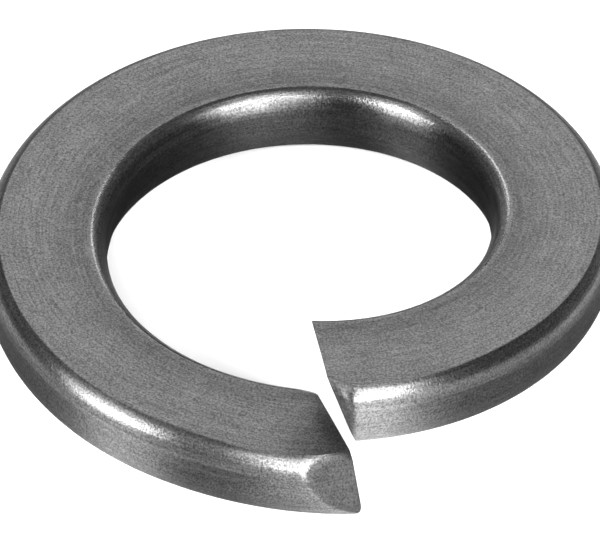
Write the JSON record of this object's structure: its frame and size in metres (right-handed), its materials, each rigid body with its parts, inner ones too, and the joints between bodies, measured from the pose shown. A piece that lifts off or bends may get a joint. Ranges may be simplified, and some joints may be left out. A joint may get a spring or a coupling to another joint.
{
  "type": "spring lock washer",
  "caption": "Split spring washer: one turn of flat steel wire wound as a left-hand helix, cut through once, with offset slanted ends that bite under a bolt head or nut.",
  "frame": {"origin": "on the bore's axis, level with the lowest point of the lower end", "axes": "+Z along the bore, towards the upper end; -Y towards the cut through the ring"},
  "size_m": [0.0204, 0.0204, 0.0056],
  "materials": {
    "spring_steel": "plain dull grey, as rolled and hardened, with burnished rounded edges"
  },
  "bodies": {
    "root": {"lock_washer": "spring_steel"}
  },
  "joints": []
}
